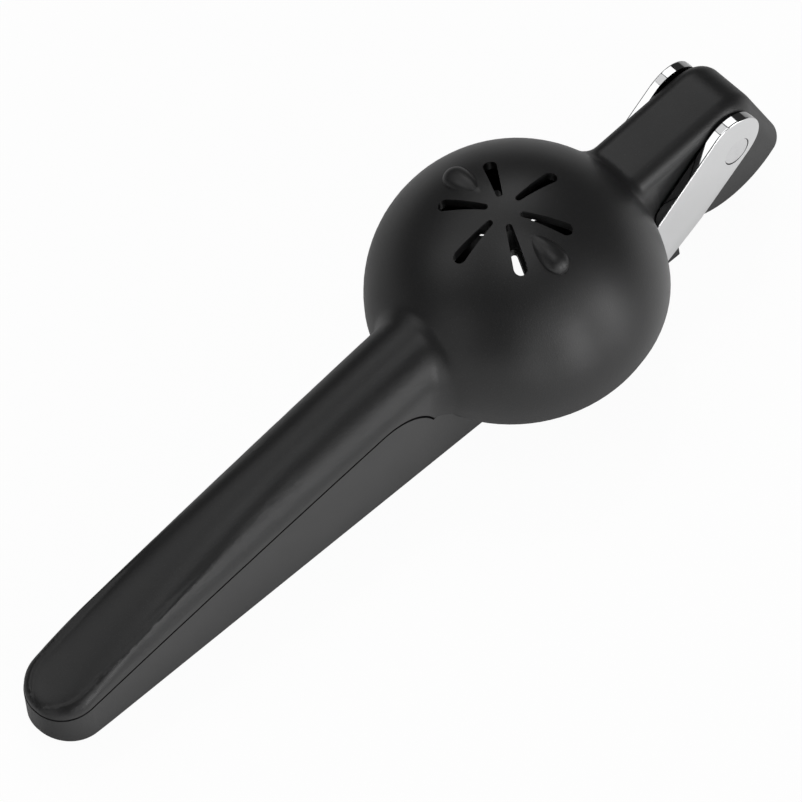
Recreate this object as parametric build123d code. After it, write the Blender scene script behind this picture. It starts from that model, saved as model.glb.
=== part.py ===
from build123d import *
import math
import os

# A hand-held citrus squeezer, closed: the bowl half lies upside down over the press half.
# Modelled in millimetres about the centre of the bowl's rim: +X to the hinge, +Z to the
# bowl's top. The finished tool is then laid on the flat underside of the press half.

# Bowl and press dome
bowl_radius = 38.0
bowl_wall = 3.0
peel_room = 9.0
dome_side_room = 5.0
dome_wall = 2.6
rim_gap = 0.6
flange_inset = 1.4
flange_thickness = 2.6
skirt_depth = 8.0
skirt_draw_in = 3.6
skirt_wall = 2.4

# Drain slots, the same in bowl and dome
slot_count = 6
slot_start = 5.0
slot_end = 15.5
slot_inner_width = 1.7
slot_outer_width = 3.5

# Raised citrus pips on the bowl
pip_reach = 14.8
pip_length = 10.6
pip_width = 5.6
pip_height = 2.0
pip_dip = 8.0

# Grip: the bowl half's is half round, the press half's has flat flanks
grip_length = 127.2
grip_tip_width = 19.8
grip_root_width = 22.2
grip_tip_rise = 0.2
grip_root_rise = 10.2
grip_bow = 0.8
grip_tip_land = 1.4
grip_root_land = 0.2
grip_drop = 17.0
grip_drop_end = 1.5
grip_wall = 2.6
grip_blend = 7.0
tip_flat = 0.6
nose_slope = 15.0
nose_lip = 3.1
nose_round = 3.5
tip_lip = 0.2
flank_proud = 0.15
parting_gap = 0.4
rib_count = 5
rib_thickness = 1.8
rib_recess = 2.5

# Flat underside of the press half
rest_depth = 20.9
rest_slope = 3.6
toe_length = 24.0
toe_lift = 4.5
floor_thickness = 2.8
underside_edge = 1.0

# Neck and hinge block of the bowl half
pin_setback = 26.3
pin_rise = 3.1
neck_width = 18.3
neck_height = 16.4
neck_wall = 2.8
neck_blend = 5.0
neck_shoulder = 4.3
block_overhang = 12.7
block_lean = 17.8
block_end_round = 11.0
rim_to_block = 3.5
flank_panel_depth = 0.3
flank_panel_start = 2.6
flank_panel_height = 11.2

# Hinge arms
arm_thickness = 2.7
arm_crown = 0.5
arm_edge = 0.4
arm_eye_radius = 9.0
arm_eye_back = 0.8
arm_eye_up = 2.7
arm_waist_radius = 8.2
arm_waist_back = 17.4
arm_waist_down = 8.5
arm_foot_radius = 7.6
arm_foot_back = 31.8
arm_foot_down = 15.4
arm_clearance = 0.5

# Hinge pin, its cap and the flanged bushes
pin_radius = 3.0
pin_head_radius = 3.8
pin_head_thickness = 1.5
pin_head_sink = 0.3
head_clearance = 0.25
pin_clearance = 0.05
spigot_radius = 1.6
bush_wall = 1.5
bush_flange_radius = 6.6
bush_flange_thickness = 0.3
bush_flange_gap = 0.3
boss_wall = 2.2
boss_depth = 2.2
press_clearance = 0.02

# Press half's tongue and the rivets that hold the arms to it
tongue_clearance = 0.6
tongue_length = 6.0
tongue_wall = 3.0
rivet_radius = 2.0
rivet_head_radius = 2.8
rivet_head_thickness = 1.2
rivet_setback = 6.7
rivet_drop = 15.2
rivet_step_back = 2.7
rivet_step_up = 6.7

# Hinge pin place and the widths that follow from the neck
pin_x = bowl_radius + pin_setback
flank = neck_width / 2
arm_inner = flank + bush_flange_thickness + bush_flange_gap
arm_outer = arm_inner + arm_thickness
block_radius = pin_setback - rim_to_block
arm_eye = Vector(pin_x - arm_eye_back, 0, pin_rise + arm_eye_up)
arm_foot = Vector(pin_x - arm_foot_back, 0, pin_rise - arm_foot_down)

# Dome, flange and skirt of the press half
bowl_inner = bowl_radius - bowl_wall
dome_radius = bowl_inner - dome_side_room
dome_centre = bowl_inner - peel_room - dome_radius
dome_inner = dome_radius - dome_wall
flange_radius = bowl_radius - flange_inset
flange_under = -rim_gap - flange_thickness

# Grip stations along X
tip_x = -bowl_radius - grip_length
root_x = -bowl_radius
inside_x = bowl_radius / 2
tip_half = grip_tip_width / 2
tip_corner = (grip_tip_width - tip_flat) / 2
root_half = grip_root_width / 2
far = 2 * (grip_length + bowl_radius)
deep = grip_blend + neck_blend
tall = 2 * bowl_radius
rib_pitch = grip_length / (rib_count + 1)
trough_end = root_x - grip_drop_end - grip_wall
toe_end = tip_x - tip_half


def along_grip(x):
    """Share of the way from the grip's tip to the bowl's edge."""
    return (x - tip_x) / (root_x - tip_x)


def grip_half(x):
    """Half width of the grip at x."""
    return tip_half + (root_half - tip_half) * along_grip(x)


def grip_rise(x):
    """Height of the parting line above the bowl's rim, a shallow bow."""
    share = along_grip(x)
    straight = grip_tip_rise + (grip_root_rise - grip_tip_rise) * share
    return straight + 4 * grip_bow * share * (1 - share)


nose_flat = Pos(tip_x, 0, grip_rise(tip_x) + nose_lip) * Rot(0, -nose_slope, 0)


def side_slab(outline, low, high):
    """A side outline drawn in X and Z, given thickness from y = low to y = high."""
    return extrude(Plane.XZ.offset(-high) * outline, high - low)


def cross_rod(radius, x, z, low, high):
    """A round bar across the tool, from y = low to y = high."""
    return side_slab(Pos(x, z) * Circle(radius), low, high)


def hull_of_discs(discs):
    """The tight outline round discs given as x, z and radius."""
    edges = [(Pos(x, z) * Circle(radius)).edge() for x, z, radius in discs]
    return make_hull(edges)


def arch_section(x, inset):
    """Cross section of the grip: half round above the parting line, straight sides below."""
    half = grip_half(x) - inset
    spring = grip_rise(x) + grip_tip_land + (grip_root_land - grip_tip_land) * along_grip(x)
    sides = Polyline((half, spring), (half, -deep), (-half, -deep), (-half, spring))
    crown = ThreePointArc((-half, spring), (0, spring + half), (half, spring))
    across = Plane(origin=(x, 0, 0), x_dir=(0, 1, 0), z_dir=(1, 0, 0))
    return across * make_face((sides + crown).edges())


def arch_body(inset, first_x, last_x):
    """The grip's rounded body from first_x to last_x, reaching far below the parting line."""
    stations = [first_x, (first_x + last_x) / 2, last_x]
    return loft([arch_section(x, inset) for x in stations])


def above_nose(inset):
    """Everything above the sloping flat on the grip's nose."""
    block = Box(2 * far, far, far, align=(Align.CENTER, Align.CENTER, Align.MIN))
    return nose_flat * Pos(0, 0, -inset) * block


def rounded_nose(body):
    """The grip's body with a round end and the flat on its nose, whose edge is rounded off."""
    end_face = body.faces().sort_by(Axis.X)[0]
    body = fillet(end_face.edges().sort_by(Axis.Z)[1:], tip_corner)
    body = body - above_nose(0)
    on_nose = nose_flat * Pos(tip_corner, 0, 0)
    nose = body.faces().sort_by_distance(on_nose.position)[0]
    return fillet(nose.edges(), nose_round)


def flank_plan(first_x, last_x, grow):
    """Plan of the press half's grip: tapered, with round corners at its tip."""
    ends = [(first_x, tip_half + grow), (last_x, grip_half(last_x) + grow)]
    outline = Polyline(*ends, *[(x, -half) for x, half in reversed(ends)], close=True)
    plan = make_face(outline.edges())
    return fillet(plan.vertices().sort_by(Axis.X)[:2], tip_corner + grow)


def parting_profile(shift):
    """Side view of everything under the grip's parting line and the bowl's rim."""
    start = tip_x - grip_tip_width
    bend = root_x - grip_drop
    foot = root_x - grip_drop_end
    middle = (start + bend) / 2
    end_rise = grip_rise(bend)
    line = ThreePointArc((start, grip_rise(start)), (middle, grip_rise(middle)), (bend, end_rise))
    drop = TangentArc((bend, end_rise), (foot, 0), tangent=line % 1)
    frame = Polyline((foot, 0), (far, 0), (far, -far), (start, -far), (start, grip_rise(start)))
    return Pos(-shift, -shift) * make_face((line + drop + frame).edges())


def below_parting(shift):
    """Solid filling everything under the parting line, lowered by shift."""
    return side_slab(parting_profile(shift), -far, far)


def slot_cutters(low, high):
    """The ring of tapered drain slots as upright cutters."""
    discs = [(slot_start, 0, slot_inner_width / 2), (slot_end, 0, slot_outer_width / 2)]
    cutter = Pos(0, 0, low) * extrude(hull_of_discs(discs), high - low)
    return [Rot(0, 0, 360 / slot_count * n) * cutter for n in range(slot_count)]


def pip():
    """A seed-shaped pip on the +Y side of the bowl's top, its point to the middle and a little sunk."""
    radius = pip_width / 2
    point = pip_length - radius
    back = TangentArc((radius, 0), (0, radius), tangent=(0, 1))
    nose = TangentArc((radius, 0), (0, -point), tangent=(0, -1))
    seed = revolve(make_face((back + nose + Line((0, -point), (0, radius))).edges()), Axis.Y)
    seed = Rot(pip_dip, 0, 0) * Pos(0, (point - radius) / 2, 0) * seed
    lean = math.degrees(math.asin(pip_reach / bowl_radius))
    return Rot(-lean, 0, 0) * Pos(0, 0, bowl_radius + pip_height - radius) * seed


def arm_outline():
    """Side outline of a hinge arm: an eye, a waist and a foot, with a shoulder under the rim."""
    discs = [
        (arm_eye.X, arm_eye.Z, arm_eye_radius),
        (pin_x - arm_waist_back, pin_rise - arm_waist_down, arm_waist_radius),
        (arm_foot.X, arm_foot.Z, arm_foot_radius),
    ]
    shoulder_x = math.sqrt(bowl_radius**2 - arm_inner**2) + arm_clearance
    over_rim = Pos(shoulder_x, -rim_gap) * Rectangle(far, far, align=(Align.MAX, Align.MIN))
    return hull_of_discs(discs) - over_rim


def block_outline(inset):
    """Side outlines of the neck, the knuckle round the hinge pin, and the limit set by top and end."""
    top = neck_height - inset
    lean = math.tan(math.radians(block_lean))
    corner_x = pin_x + block_overhang - inset - (top - pin_rise) * lean
    limit = Polyline(
        (inside_x, top),
        (corner_x, top),
        (corner_x + far * lean, top - far),
        (inside_x, top - far),
        close=True,
    )
    limit = make_face(limit.edges())
    corner = limit.vertices().sort_by_distance(Vector(corner_x, top, 0))[0]
    limit = fillet(corner, block_end_round - inset)
    neck = Pos(inside_x, top) * Rectangle(pin_x - inside_x, top + deep, align=(Align.MIN, Align.MAX))
    knuckle = Pos(pin_x, pin_rise) * Circle(block_radius)
    return neck, knuckle, limit


def hinge_block():
    """Solid neck and hinge block with rounded shoulders."""
    neck, knuckle, limit = block_outline(0)
    block = side_slab((neck + knuckle) & limit, -flank, flank)
    sides = block.edges().filter_by(lambda edge: abs(abs(edge.center().Y) - flank) < 0.01)
    end_x = pin_x + block_overhang / 2
    shoulder = [edge for edge in sides if edge.center().Z > pin_rise or edge.center().X > end_x]
    return fillet(shoulder, neck_shoulder)


def on_bowl(edge):
    """True for an edge where the grip or the neck runs into the bowl."""
    points = [edge @ share for share in (0.15, 0.5, 0.85)]
    reach = [p.length for p in points]
    beside = max(abs(p.Y) for p in points) < max(root_half, flank) + parting_gap
    return beside and max(abs(value - bowl_radius) for value in reach) < 0.01


# Bowl half: outer body with the grip and the neck blended into the bowl
ball = Rot(0, 0, 90) * Sphere(bowl_radius)
bowl_half = ball + rounded_nose(arch_body(0, tip_x, -inside_x)) + hinge_block()
seams = [edge for edge in bowl_half.edges() if on_bowl(edge) and edge.center().X < 0]
bowl_half = fillet(seams, grip_blend)
seams = [edge for edge in bowl_half.edges() if on_bowl(edge) and edge.center().X > 0]
bowl_half = fillet(seams, neck_blend)

# Bowl half: trimmed to the parting line, the rim and the round of the hinge block
neck, knuckle, limit = block_outline(0)
bowl_half = bowl_half - (below_parting(0) - side_slab(knuckle & limit, -flank, flank))

# Bowl half: hollow grip with cross ribs
hollow = arch_body(grip_wall, tip_x + tip_corner, root_x) - above_nose(grip_wall) - ball
ribs = [Pos(tip_x + rib_pitch * n, 0, 0) * Box(rib_thickness, far, far) for n in range(1, rib_count + 1)]
bowl_half = bowl_half - (hollow - [rib - below_parting(-rib_recess) for rib in ribs])

# Bowl half: hollow neck with a boss for each bush
neck, knuckle, limit = block_outline(neck_wall)
inner_flank = flank - neck_wall
bowl_half = bowl_half - (side_slab(limit, -inner_flank, inner_flank) - ball)
boss_end = inner_flank - boss_depth
bush_radius = pin_radius + pin_clearance + bush_wall
for low, high in ((boss_end, flank), (-flank, -boss_end)):
    bowl_half = bowl_half + cross_rod(bush_radius + boss_wall, pin_x, pin_rise, low, high)
bowl_half = bowl_half - cross_rod(bush_radius + press_clearance, pin_x, pin_rise, -arm_outer, arm_outer)

# Bowl half: clearance for the arms and the shallow panel on each flank
panel_x = bowl_radius + flank_panel_start
panel = Pos(panel_x, flank_panel_height) * Rectangle(
    pin_x - bush_flange_radius - panel_x, 2 * flank_panel_height, align=(Align.MIN, Align.MAX)
)
room = offset(arm_outline(), arm_clearance)
for mirrored in (False, True):
    cuts = side_slab(room, arm_inner - arm_clearance, arm_outer + arm_clearance)
    cuts = cuts + side_slab(panel, flank - flank_panel_depth, arm_inner)
    bowl_half = bowl_half - (mirror(cuts, Plane.XZ) if mirrored else cuts)

# Bowl half: hollow bowl, pips and drain slots
bowl_half = bowl_half + [pip(), Rot(0, 0, 180) * pip()]
bowl_half = bowl_half - Sphere(bowl_inner)
bowl_half = bowl_half - slot_cutters(0, 2 * bowl_radius)

# Press half: flat-flanked grip between the parting line and the flat underside
toe_start = toe_end + toe_length
toe = TangentArc((toe_start, 0), (toe_end, toe_lift), tangent=(-1, 0))
underside = Polyline((toe_end, toe_lift), (toe_end, -far), (far, -far), (far, 0), (toe_start, 0))
under_floor = side_slab(make_face((toe + underside).edges()), -far, far)
under_floor = Pos(0, 0, -rest_depth) * Rot(0, rest_slope, 0) * under_floor
plan = flank_plan(tip_x - tip_lip, -inside_x, flank_proud)
press_half = extrude(plan, tall, both=True) - under_floor
lowest = press_half.faces().sort_by_distance(Vector((tip_x + root_x) / 2, 0, -far))[0]
press_half = fillet(lowest.edges(), underside_edge)
press_half = press_half & below_parting(parting_gap)

# Press half: the grip is an open trough with cross ribs
trough_plan = flank_plan(tip_x - tip_lip + grip_wall, trough_end, -grip_wall)
trough = extrude(trough_plan, tall, both=True) - Pos(0, 0, floor_thickness) * under_floor
press_half = press_half - (trough - [rib & below_parting(rib_recess) for rib in ribs])

# Press half: tongue behind the dome, round about the hinge pin
tongue_end = bowl_radius + tongue_length
sweep_radius = block_radius + tongue_clearance
tongue_half = arm_inner - press_clearance
tongue = Pos(tongue_end, -rim_gap) * Rectangle(bowl_radius, far, align=(Align.MAX, Align.MAX))
tongue = tongue - Pos(pin_x, pin_rise) * Circle(sweep_radius)
tongue = side_slab(tongue, -tongue_half, tongue_half) - under_floor
pocket = Pos(tongue_end - tongue_wall, flange_under) * Rectangle(
    tongue_end - 2 * tongue_wall - dome_inner, far, align=(Align.MAX, Align.MAX)
)
pocket = pocket - Pos(pin_x, pin_rise) * Circle(sweep_radius + tongue_wall)
pocket_half = tongue_half - tongue_wall
front_rivet = (bowl_radius - rivet_setback, -rivet_drop)
rear_rivet = (front_rivet[0] + rivet_step_back, front_rivet[1] + rivet_step_up)
pocket = side_slab(pocket, -pocket_half, pocket_half)
for x, z in (front_rivet, rear_rivet):
    pocket = pocket - cross_rod(rivet_radius + tongue_wall / 2, x, z, -pocket_half, pocket_half)
press_half = press_half + (tongue - pocket)

# Press half: dome, flange and skirt turned about the bowl's axis
flange_edge = Polyline(
    (0, dome_centre),
    (0, -rim_gap),
    (flange_radius, -rim_gap),
    (flange_radius, flange_under),
    (flange_radius - skirt_draw_in, -rim_gap - skirt_depth),
    (flange_radius - skirt_draw_in - skirt_wall, -rim_gap - skirt_depth),
    (flange_radius - skirt_wall, flange_under),
    (dome_inner, flange_under),
    (0, flange_under),
    (0, dome_centre),
)
rim_ring = revolve(Plane.XZ * make_face(flange_edge.edges()), Axis.Z)
dome = Pos(0, 0, dome_centre) * Sphere(dome_radius) - Pos(0, 0, flange_under) * Box(
    far, far, far, align=(Align.CENTER, Align.CENTER, Align.MAX)
)
well = Sphere(dome_inner) + Cylinder(dome_inner, far, align=(Align.CENTER, Align.CENTER, Align.MAX))
press_half = press_half + rim_ring + dome - Pos(0, 0, dome_centre) * well
press_half = press_half - slot_cutters(-rest_depth, 2 * bowl_radius)

# Press half: seats for the arms and holes for the rivets
seat = offset(arm_outline(), press_clearance)
press_half = press_half - side_slab(seat, tongue_half, arm_outer + arm_clearance)
press_half = press_half - side_slab(seat, -arm_outer - arm_clearance, -tongue_half)
for x, z in (front_rivet, rear_rivet):
    press_half = press_half - cross_rod(rivet_radius + press_clearance, x, z, -arm_outer, arm_outer)


def hinge_arm():
    """The arm on the +Y side: a crowned plate with sunk seats for the pin and rivet heads."""
    crown_radius = (arm_eye_radius**2 / arm_crown + arm_crown) / 2
    lengthways = Plane(origin=arm_eye + Vector(0, arm_outer - crown_radius, 0), z_dir=arm_eye - arm_foot)
    arm = side_slab(arm_outline(), arm_inner, arm_outer) & lengthways * Cylinder(crown_radius, far)
    arm = fillet(arm.faces().sort_by(Axis.Y)[-1].edges(), arm_edge)
    head_seat = arm_outer - pin_head_sink - pin_head_thickness
    arm = arm - cross_rod(pin_radius + press_clearance, pin_x, pin_rise, 0, far)
    arm = arm - cross_rod(pin_head_radius + head_clearance, pin_x, pin_rise, head_seat, far)
    rivet_seat = arm_outer - rivet_head_thickness
    for x, z in (front_rivet, rear_rivet):
        arm = arm - cross_rod(rivet_radius + press_clearance, x, z, 0, far)
        arm = arm - cross_rod(rivet_head_radius + press_clearance, x, z, rivet_seat, far)
    return arm


def hinge_bush():
    """The flanged bush on the +Y side, with its flange on the block's flank."""
    sleeve = cross_rod(bush_radius, pin_x, pin_rise, boss_end, flank)
    flange = cross_rod(bush_flange_radius, pin_x, pin_rise, flank, flank + bush_flange_thickness)
    return sleeve + flange - cross_rod(pin_radius + pin_clearance, pin_x, pin_rise, 0, far)


def arm_rivet(x, z):
    """A rivet through both arms and the tongue, with a flat head at each end."""
    seat_y = arm_outer - rivet_head_thickness
    rivet = cross_rod(rivet_radius, x, z, -arm_outer, arm_outer)
    rivet = rivet + cross_rod(rivet_head_radius, x, z, seat_y, arm_outer)
    return rivet + cross_rod(rivet_head_radius, x, z, -arm_outer, -seat_y)


# Hinge pin with one head, and the cap that closes its other end
head_face = arm_outer - pin_head_sink
shaft_end = head_face - pin_head_thickness
spigot_end = head_face - pin_head_thickness / 2
hinge_pin = cross_rod(pin_radius, pin_x, pin_rise, -head_face, shaft_end)
hinge_pin = hinge_pin + cross_rod(pin_head_radius, pin_x, pin_rise, -head_face, -shaft_end)
hinge_pin = hinge_pin + cross_rod(spigot_radius, pin_x, pin_rise, 0, spigot_end)
hinge_pin_cap = cross_rod(pin_head_radius, pin_x, pin_rise, shaft_end, head_face)
spigot_hole = cross_rod(spigot_radius + press_clearance, pin_x, pin_rise, 0, spigot_end + press_clearance)
hinge_pin_cap = hinge_pin_cap - spigot_hole

pieces = {
    "bowl_half": bowl_half,
    "press_half": press_half,
    "left_hinge_arm": hinge_arm(),
    "right_hinge_arm": mirror(hinge_arm(), Plane.XZ),
    "hinge_pin": hinge_pin,
    "hinge_pin_cap": hinge_pin_cap,
    "left_hinge_bush": hinge_bush(),
    "right_hinge_bush": mirror(hinge_bush(), Plane.XZ),
    "front_arm_rivet": arm_rivet(*front_rivet),
    "rear_arm_rivet": arm_rivet(*rear_rivet),
}

# Laid on the flat underside, with the middle of its length over the origin
tilt = Rot(0, -rest_slope, 0)
laid = [tilt * piece for piece in pieces.values()]
middle = Compound(children=[Part(piece.wrapped) for piece in laid]).bounding_box().center()
lay = Pos(-middle.X, 0, rest_depth * math.cos(math.radians(rest_slope))) * tilt
os.makedirs("parts", exist_ok=True)
for name, piece in pieces.items():
    export_step(lay * piece, f"parts/{name}.step")
pin_place = lay * Pos(pin_x, 0, pin_rise)
print("hinge pin at", pin_place.position)
print("bowl centre at", (lay * Pos(0, 0, 0)).position)
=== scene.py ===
import math

import bmesh
import bpy
from mathutils import Matrix, Vector


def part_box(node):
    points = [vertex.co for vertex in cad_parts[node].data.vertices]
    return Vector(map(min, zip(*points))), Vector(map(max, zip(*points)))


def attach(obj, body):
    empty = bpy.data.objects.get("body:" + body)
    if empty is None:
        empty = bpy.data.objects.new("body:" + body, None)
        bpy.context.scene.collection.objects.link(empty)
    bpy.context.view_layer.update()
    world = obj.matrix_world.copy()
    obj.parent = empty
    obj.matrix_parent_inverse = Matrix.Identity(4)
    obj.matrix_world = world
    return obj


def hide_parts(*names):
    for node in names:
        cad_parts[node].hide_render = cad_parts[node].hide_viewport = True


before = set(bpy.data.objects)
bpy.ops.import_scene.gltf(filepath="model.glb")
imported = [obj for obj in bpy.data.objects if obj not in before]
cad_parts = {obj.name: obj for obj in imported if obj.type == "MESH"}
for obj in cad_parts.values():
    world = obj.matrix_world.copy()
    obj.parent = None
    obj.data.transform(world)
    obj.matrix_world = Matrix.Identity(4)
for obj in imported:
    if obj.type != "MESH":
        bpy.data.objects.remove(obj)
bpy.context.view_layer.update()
bpy.context.scene.view_settings.view_transform = "Standard"


# Press half: the lower grip, the press dome and the tongue that carries the hinge arms.
# One moulding in glass-filled nylon, satin black, with a fine spark-eroded grain on all its faces.
# It lies on its flat underside, and everything else is fixed to it or swings over it.
def add_node(tree, kind, inputs=None, **settings):
    node = tree.nodes.new(kind)
    for name, value in settings.items():
        setattr(node, name, value)
    for name, value in (inputs or {}).items():
        if isinstance(value, bpy.types.NodeSocket):
            tree.links.new(value, node.inputs[name])
        else:
            node.inputs[name].default_value = value
    return node


def start_group(name, inputs, outputs):
    group = bpy.data.node_groups.new(name, "ShaderNodeTree")
    for label, kind in inputs:
        group.interface.new_socket(label, in_out="INPUT", socket_type=kind)
    for label, kind in outputs:
        group.interface.new_socket(label, in_out="OUTPUT", socket_type=kind)
    taken = group.nodes.new("NodeGroupInput").outputs
    given = group.nodes.new("NodeGroupOutput").inputs
    return group, taken, given


def start_material(name):
    material = bpy.data.materials.new(name)
    material.use_nodes = True
    tree = material.node_tree
    place = add_node(tree, "ShaderNodeTexCoord").outputs["Object"]
    return material, tree, tree.nodes["Principled BSDF"], place


def place_group(tree, group, inputs):
    return add_node(tree, "ShaderNodeGroup", inputs, node_tree=group).outputs


def tint_by(tree, shader, factor, first, second):
    tint = add_node(tree, "ShaderNodeMix", {"Factor": factor, "A": first, "B": second}, data_type="RGBA")
    tree.links.new(tint.outputs["Result"], shader.inputs["Base Color"])


def roughen_by(tree, shader, cloud, smooth, rough):
    satin = add_node(
        tree, "ShaderNodeMapRange",
        {"Value": cloud, "From Min": 0.3, "From Max": 0.7, "To Min": smooth, "To Max": rough},
    )
    tree.links.new(satin.outputs["Result"], shader.inputs["Roughness"])


def emboss_by(tree, shader, height, strength, depth):
    bump = add_node(tree, "ShaderNodeBump", {"Strength": strength, "Distance": depth, "Height": height})
    tree.links.new(bump.outputs["Normal"], shader.inputs["Normal"])


def dress(material, *node_names):
    for node_name in node_names:
        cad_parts[node_name].material_slots[0].material = material


def mould_grain_group():
    group, taken, given = start_group(
        "mould grain",
        [("Vector", "NodeSocketVector"), ("Grains per metre", "NodeSocketFloat")],
        [("Height", "NodeSocketFloat"), ("Cloud", "NodeSocketFloat"), ("Speck", "NodeSocketFloat")],
    )
    fine = add_node(
        group, "ShaderNodeTexNoise",
        {"Vector": taken["Vector"], "Scale": taken["Grains per metre"], "Detail": 2.0, "Roughness": 0.6},
    )
    pits = add_node(
        group, "ShaderNodeTexVoronoi", {"Vector": taken["Vector"], "Scale": taken["Grains per metre"]},
        feature="SMOOTH_F1",
    )
    height = add_node(
        group, "ShaderNodeMath", {0: fine.outputs["Fac"], 1: pits.outputs["Distance"]}, operation="ADD",
    )
    cloud = add_node(
        group, "ShaderNodeTexNoise",
        {"Vector": taken["Vector"], "Scale": 38.0, "Detail": 3.0, "Roughness": 0.55},
    )
    speck = add_node(
        group, "ShaderNodeMapRange",
        {"Value": fine.outputs["Fac"], "From Min": 0.62, "From Max": 0.74},
    )
    group.links.new(height.outputs["Value"], given["Height"])
    group.links.new(cloud.outputs["Fac"], given["Cloud"])
    group.links.new(speck.outputs["Result"], given["Speck"])
    return group


def moulded_plastic(name, dark, light, smooth, rough, grains, depth, gloss):
    material, tree, shader, place = start_material(name)
    grain = place_group(tree, mould_grain, {"Vector": place, "Grains per metre": grains})
    tint_by(tree, shader, grain["Speck"], dark, light)
    roughen_by(tree, shader, grain["Cloud"], smooth, rough)
    emboss_by(tree, shader, grain["Height"], 0.35, depth)
    shader.inputs["Specular IOR Level"].default_value = gloss
    return material


mould_grain = mould_grain_group()
black_nylon = moulded_plastic(
    "satin black nylon", (0.0135, 0.0135, 0.0138, 1.0), (0.024, 0.024, 0.0245, 1.0),
    smooth=0.36, rough=0.43, grains=2600.0, depth=0.00004, gloss=0.3,
)
dress(black_nylon, "press_half")


# Hinge arms: two pressed steel plates, one on each side, riveted to the press half's tongue.
# Polished and chrome plated all over, with a slightly crowned outer face and faint buffing lines.
def buffed_metal(name, pale, dull, smooth, rough, stretch, depth):
    material, tree, shader, place = start_material(name)
    shader.inputs["Metallic"].default_value = 1.0
    along = add_node(tree, "ShaderNodeMapping", {"Vector": place, "Scale": stretch})
    lines = add_node(
        tree, "ShaderNodeTexNoise", {"Vector": along.outputs["Vector"], "Scale": 1.0, "Detail": 2.0},
    )
    breath = add_node(tree, "ShaderNodeTexNoise", {"Vector": place, "Scale": 55.0, "Detail": 2.0})
    tint_by(tree, shader, breath.outputs["Fac"], pale, dull)
    roughen_by(tree, shader, breath.outputs["Fac"], smooth, rough)
    emboss_by(tree, shader, lines.outputs["Fac"], 0.2, depth)
    return material


bright_chrome = buffed_metal(
    "polished chrome plate", (0.56, 0.562, 0.565, 1.0), (0.53, 0.532, 0.535, 1.0),
    smooth=0.05, rough=0.09, stretch=(300.0, 300.0, 4000.0), depth=0.000004,
)
dress(bright_chrome, "left_hinge_arm", "right_hinge_arm")


# Rivets: two steel rivets, one above the other, through both arms and the press half's tongue.
# Headed cold from plain wire and faced off, so that their flat heads lie flush in the arms.
waves_per_scale = 20.0


def faced_steel(name, node_name, pale, dull, smooth, rough, rings_per_metre, depth):
    low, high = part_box(node_name)
    middle = (Vector(low) + Vector(high)) / 2
    material, tree, shader, place = start_material(name)
    shader.inputs["Metallic"].default_value = 1.0
    centred = add_node(tree, "ShaderNodeMapping", {"Vector": place, "Location": -middle})
    rings = add_node(
        tree, "ShaderNodeTexWave",
        {
            "Vector": centred.outputs["Vector"], "Scale": rings_per_metre / waves_per_scale,
            "Distortion": 1.2, "Detail": 2.0,
        },
        wave_type="RINGS", rings_direction="Y",
    )
    stain = add_node(tree, "ShaderNodeTexNoise", {"Vector": place, "Scale": 420.0, "Detail": 3.0})
    tint_by(tree, shader, stain.outputs["Fac"], pale, dull)
    roughen_by(tree, shader, stain.outputs["Fac"], smooth, rough)
    emboss_by(tree, shader, rings.outputs["Fac"], 0.25, depth)
    return material


for rivet_name in ("front_arm_rivet", "rear_arm_rivet"):
    rivet_steel = faced_steel(
        rivet_name.replace("_", " ") + " steel", rivet_name, (0.5, 0.5, 0.505, 1.0), (0.42, 0.42, 0.425, 1.0),
        smooth=0.26, rough=0.36, rings_per_metre=4000.0, depth=0.000006,
    )
    dress(rivet_steel, rivet_name)


# Hinge pin and its cap: a steel pin turned from rod, with a flat faced head on the near side.
# It is pushed through both arms and both bushes, and the cap is pressed onto its far end.
pin_steel = faced_steel(
    "faced pin steel", "hinge_pin", (0.56, 0.56, 0.565, 1.0), (0.5, 0.5, 0.505, 1.0),
    smooth=0.16, rough=0.24, rings_per_metre=5000.0, depth=0.000004,
)
dress(pin_steel, "hinge_pin", "hinge_pin_cap")


# Hinge bushes: a flanged bush in each side of the bowl half's hinge block, turning on the pin.
# Moulded in black acetal, smoother than the nylon, and pressed into the block's bosses.
black_acetal = moulded_plastic(
    "black acetal", (0.02, 0.02, 0.021, 1.0), (0.03, 0.03, 0.031, 1.0),
    smooth=0.3, rough=0.38, grains=3500.0, depth=0.00001, gloss=0.45,
)
dress(black_acetal, "left_hinge_bush", "right_hinge_bush")


# Bowl half: the slotted bowl with its two raised pips, the upper grip, the neck and the hinge block.
# One moulding in the same satin black nylon as the press half, hung on the pin by its two bushes.
# The crown rolls down softly into the flat of its nose, and the pips are drawn out a little, on a finer mesh.
bowl_centre = Vector((0.0413864, 0.0, 0.0208588))
rest_slope = math.radians(3.6)
level = Matrix.Translation(bowl_centre) @ Matrix.Rotation(-rest_slope, 4, "Y")
grip_tip = -0.1652
grip_span = 0.1272
tip_half_width = 0.0099
half_width_gain = 0.0012
tip_round = 0.0096
spring_height = 0.0016
spring_gain = 0.0088
spring_bow = 0.0032
nose_height = 0.0033
nose_rise = math.tan(math.radians(15.0))
nose_end = -0.08
ease_depth = 0.008
ease_edge = 0.0035
skin_tolerance = 0.0018
cut_step_along = 0.00125
cuts_along = 68
cut_step_across = 0.001
cuts_across = 20
weld_distance = 0.000002
crease_angle = math.radians(28.0)
bowl_radius = 0.038
outer_skin = 0.0001
pip_reach = 0.0148
pip_lean = math.asin(pip_reach / bowl_radius)
pip_half_length = 0.0053
pip_half_width = 0.0028
pip_draw = 0.32
pip_widen = 0.22
pip_fade_end = 1.45
pip_fade = 0.45


def soft_step(share):
    share = min(1.0, share)
    return share * share * (3.0 - 2.0 * share)


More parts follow.
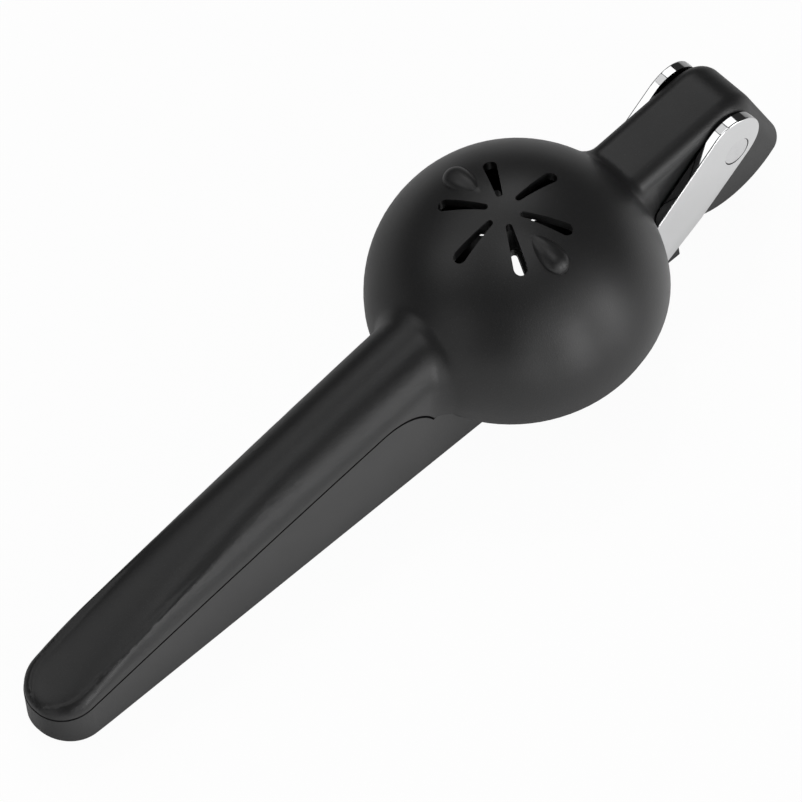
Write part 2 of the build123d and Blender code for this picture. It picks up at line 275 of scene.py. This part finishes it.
def grip_section(x):
    share = (x - grip_tip) / grip_span
    half = tip_half_width + half_width_gain * share
    beyond = max(0.0, grip_tip + tip_round - x)
    inset = tip_round - math.sqrt(max(0.0, tip_round**2 - beyond**2))
    spring = spring_height + spring_gain * share + spring_bow * share * (1.0 - share)
    return half - inset, spring


def crown_and_nose(x, y):
    half, spring = grip_section(x)
    crown = spring + math.sqrt(max(0.0, half**2 - y**2))
    nose = nose_height + (x - grip_tip) * nose_rise
    return crown, nose, max(0.0, half - abs(y))


def eased_height(x, y):
    crown, nose, margin = crown_and_nose(x, y)
    depth = ease_depth * soft_step(margin / ease_edge)
    if abs(crown - nose) >= depth:
        return min(crown, nose)
    lean = 0.5 + 0.5 * (nose - crown) / depth
    return nose + (crown - nose) * lean - depth * lean * (1.0 - lean)


def on_nose(point):
    if point.x > nose_end:
        return False
    crown, nose, margin = crown_and_nose(point.x, point.y)
    return margin > 0.0 and abs(point.z - min(crown, nose)) < skin_tolerance


def drawn_pip(point):
    radius = point.length
    out = math.copysign(1.0, point.y)
    down = math.atan2(abs(point.y), point.z)
    along = (down - pip_lean) * bowl_radius
    reach = math.hypot(along / pip_half_length, point.x / pip_half_width)
    if radius < bowl_radius - outer_skin or point.z < 0.0 or reach > pip_fade_end:
        return point
    share = soft_step((pip_fade_end - reach) / pip_fade)
    down = pip_lean + along * (1.0 + pip_draw * share) / bowl_radius
    across = point.x * (1.0 + pip_widen * share)
    ring = math.sqrt(radius**2 - across**2)
    return Vector((across, out * ring * math.sin(down), ring * math.cos(down)))


bowl = bpy.data.objects.new("bowl_half_moulding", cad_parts["bowl_half"].data.copy())
bpy.context.scene.collection.objects.link(bowl)
bpy.ops.object.select_all(action="DESELECT")
bowl.select_set(True)
bpy.context.view_layer.objects.active = bowl
bpy.ops.mesh.customdata_custom_splitnormals_clear()
mesh = bmesh.new()
mesh.from_mesh(bowl.data)
bmesh.ops.remove_doubles(mesh, verts=mesh.verts, dist=weld_distance)
mesh.transform(level.inverted())
lengthwise = Vector((1.0, 0.0, 0.0))
crosswise = Vector((0.0, 1.0, 0.0))
cuts = [(lengthwise * (grip_tip + cut_step_along * (n + 1)), lengthwise) for n in range(cuts_along)]
cuts += [(crosswise * cut_step_across * (n - (cuts_across - 1) / 2), crosswise) for n in range(cuts_across)]
for place, square in cuts:
    faces = [face for face in mesh.faces if any(on_nose(point.co) for point in face.verts)]
    edges = {edge for face in faces for edge in face.edges}
    points = {point for face in faces for point in face.verts}
    bmesh.ops.bisect_plane(mesh, geom=faces + list(edges) + list(points), plane_co=place, plane_no=square)
for point in mesh.verts:
    if on_nose(point.co):
        point.co.z = min(point.co.z, eased_height(point.co.x, point.co.y))
    point.co = drawn_pip(point.co)
mesh.transform(level)
mesh.to_mesh(bowl.data)
mesh.free()
bpy.ops.object.shade_smooth_by_angle(angle=crease_angle)
bowl.material_slots[0].material = black_nylon
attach(bowl, "bowl")
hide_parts("bowl_half")


# Floor: a plain white table top of polished acrylic under the object, which takes its soft shadow.
# Seen straight on it is close to paper white. The chrome and the satin plastic mirror it, and in these
# reflections only it also glows as a painted pool of light, brightest beside the object and on the near side,
# where the soft boxes stand.
bpy.ops.object.select_all(action="DESELECT")
floor_gap = 0.0003
bpy.ops.mesh.primitive_plane_add(size=12.0, location=(0.0, 0.0, -floor_gap))
floor = bpy.context.object
floor.name = "table_top"
table_white, table, table_paint, table_place = start_material("white table top")
table_paint.inputs["Base Color"].default_value = (0.82, 0.82, 0.82, 1.0)
table_paint.inputs["Roughness"].default_value = 0.12
table_spot = add_node(table, "ShaderNodeSeparateXYZ", {"Vector": table_place}).outputs


def fade(value, start, end, low, high):
    ramp = add_node(
        table, "ShaderNodeMapRange",
        {"Value": value, "From Min": start, "From Max": end, "To Min": low, "To Max": high},
        interpolation_type="SMOOTHSTEP",
    )
    return ramp.outputs["Result"]


def reckon(operation, *values):
    return add_node(table, "ShaderNodeMath", dict(enumerate(values)), operation=operation).outputs["Value"]


# Painted light: these ramps set where the floor glows in reflections only, close beside the object, on the
# near side towards the boxes up to the hinge end, and faintly behind.
beside = fade(table_spot["Y"], 0.0, -0.02, 0.0, 0.62)
painted_pool_towards_boxes = fade(table_spot["Y"], -0.08, -0.3, 0.0, 0.9)
left_of_hinge = fade(table_spot["X"], 0.1, 0.2, 1.0, 0.0)
behind = fade(table_spot["Y"], 0.04, 0.15, 0.0, 0.12)
painted_glow_near_side = reckon("MULTIPLY_ADD", painted_pool_towards_boxes, left_of_hinge, beside)
painted_glow_share = reckon("ADD", painted_glow_near_side, behind)
floor_rays = add_node(table, "ShaderNodeLightPath").outputs
straight = reckon("MAXIMUM", floor_rays["Is Camera Ray"], floor_rays["Is Transmission Ray"])
paper_share = reckon("MULTIPLY", straight, 0.96)
painted_glow_strength = reckon("MULTIPLY", painted_glow_share, floor_rays["Is Glossy Ray"])
white = (1.0, 1.0, 1.0, 1.0)
paper_white = add_node(table, "ShaderNodeEmission", {"Color": white, "Strength": 1.0})
table_mix = add_node(
    table, "ShaderNodeMixShader",
    {"Fac": paper_share, 1: table_paint.outputs["BSDF"], 2: paper_white.outputs["Emission"]},
)
# Painted reflection: the floor emits this glow for glossy rays only, though it is no lamp.
painted_reflection_glow = add_node(table, "ShaderNodeEmission", {"Color": white, "Strength": painted_glow_strength})
table_sum = add_node(
    table, "ShaderNodeAddShader", {0: table_mix.outputs["Shader"], 1: painted_reflection_glow.outputs["Emission"]},
)
table_end = table.nodes["Material Output"]
table.links.new(table_sum.outputs["Shader"], table_end.inputs["Surface"])
floor.data.materials.append(table_white)


# Studio light: three small soft boxes low on the near side, with a wide bank above them.
# One more box hangs overhead, three stand behind and one at the grips' end.
# The room is white, and dim between the boxes.
def soft_box(name, place, width, height, radiance):
    lamp = bpy.data.lights.new(name, "AREA")
    lamp.shape = "RECTANGLE"
    lamp.size = width
    lamp.size_y = height
    lamp.energy = math.pi * width * height * radiance
    box = bpy.data.objects.new(name, lamp)
    box.location = place
    box.rotation_euler = (lit_middle - box.location).to_track_quat("-Z", "Y").to_euler()
    bpy.context.scene.collection.objects.link(box)


lit_middle = Vector((0.0, 0.0, 0.02))
soft_box("low_near_box", (0.0, -1.383, 0.239), 0.42, 0.42, 7.4)
soft_box("low_right_box", (0.691, -1.197, 0.239), 0.42, 0.42, 8.2)
soft_box("low_left_box", (-0.691, -1.197, 0.239), 0.42, 0.42, 2.2)
soft_box("near_bank", (0.0, -1.258, 0.634), 1.7, 0.7, 1.4)
soft_box("overhead_box", (0.0, -0.122, 1.415), 0.7, 0.7, 2.2)
soft_box("rear_left_box", (-0.688, 0.688, 1.027), 0.7, 0.7, 1.9)
soft_box("rear_right_box", (0.688, 0.688, 1.027), 0.7, 0.7, 2.0)
soft_box("rear_box", (0.0, 0.8, 1.17), 0.7, 1.0, 1.1)
soft_box("grip_end_box", (-1.346, 0.0, 0.406), 0.7, 0.7, 1.25)
room = bpy.data.worlds.new("white room")
room.use_nodes = True
bpy.context.scene.world = room
walls = room.node_tree
walls.nodes.clear()
wall_rays = add_node(walls, "ShaderNodeLightPath").outputs
wall_level = add_node(
    walls, "ShaderNodeMapRange", {"Value": wall_rays["Is Camera Ray"], "To Min": 0.04, "To Max": 1.0},
)
wall_white = add_node(
    walls, "ShaderNodeBackground", {"Color": white, "Strength": wall_level.outputs["Result"]},
)
wall_end = walls.nodes.new("ShaderNodeOutputWorld")
walls.links.new(wall_white.outputs["Background"], wall_end.inputs["Surface"])


# Camera: far off with a long lens, so that there is hardly any perspective.
# It looks down from the near side of the grips, framed as the photograph.
picture_pixels = 802
pixels_per_metre = 4054.4
to_right = Vector((0.7193, -0.6933, -0.0437)).normalized()
to_camera = to_right.cross(Vector((0.5903, 0.5768, 0.5647))).normalized()
to_top = to_camera.cross(to_right)
bowl_right = 0.02868
bowl_up = 0.02698
distance = 8.5
camera_data = bpy.data.cameras.new("camera")
camera_data.sensor_width = 36.0
camera_data.lens = camera_data.sensor_width * pixels_per_metre * distance / picture_pixels
camera_data.clip_end = 100.0
camera = bpy.data.objects.new("camera", camera_data)
turn = Matrix((to_right, to_top, to_camera)).transposed().to_4x4()
stand = bowl_centre - to_right * bowl_right - to_top * bowl_up + to_camera * distance
camera.matrix_world = Matrix.Translation(stand) @ turn
bpy.context.scene.collection.objects.link(camera)
bpy.context.scene.camera = camera
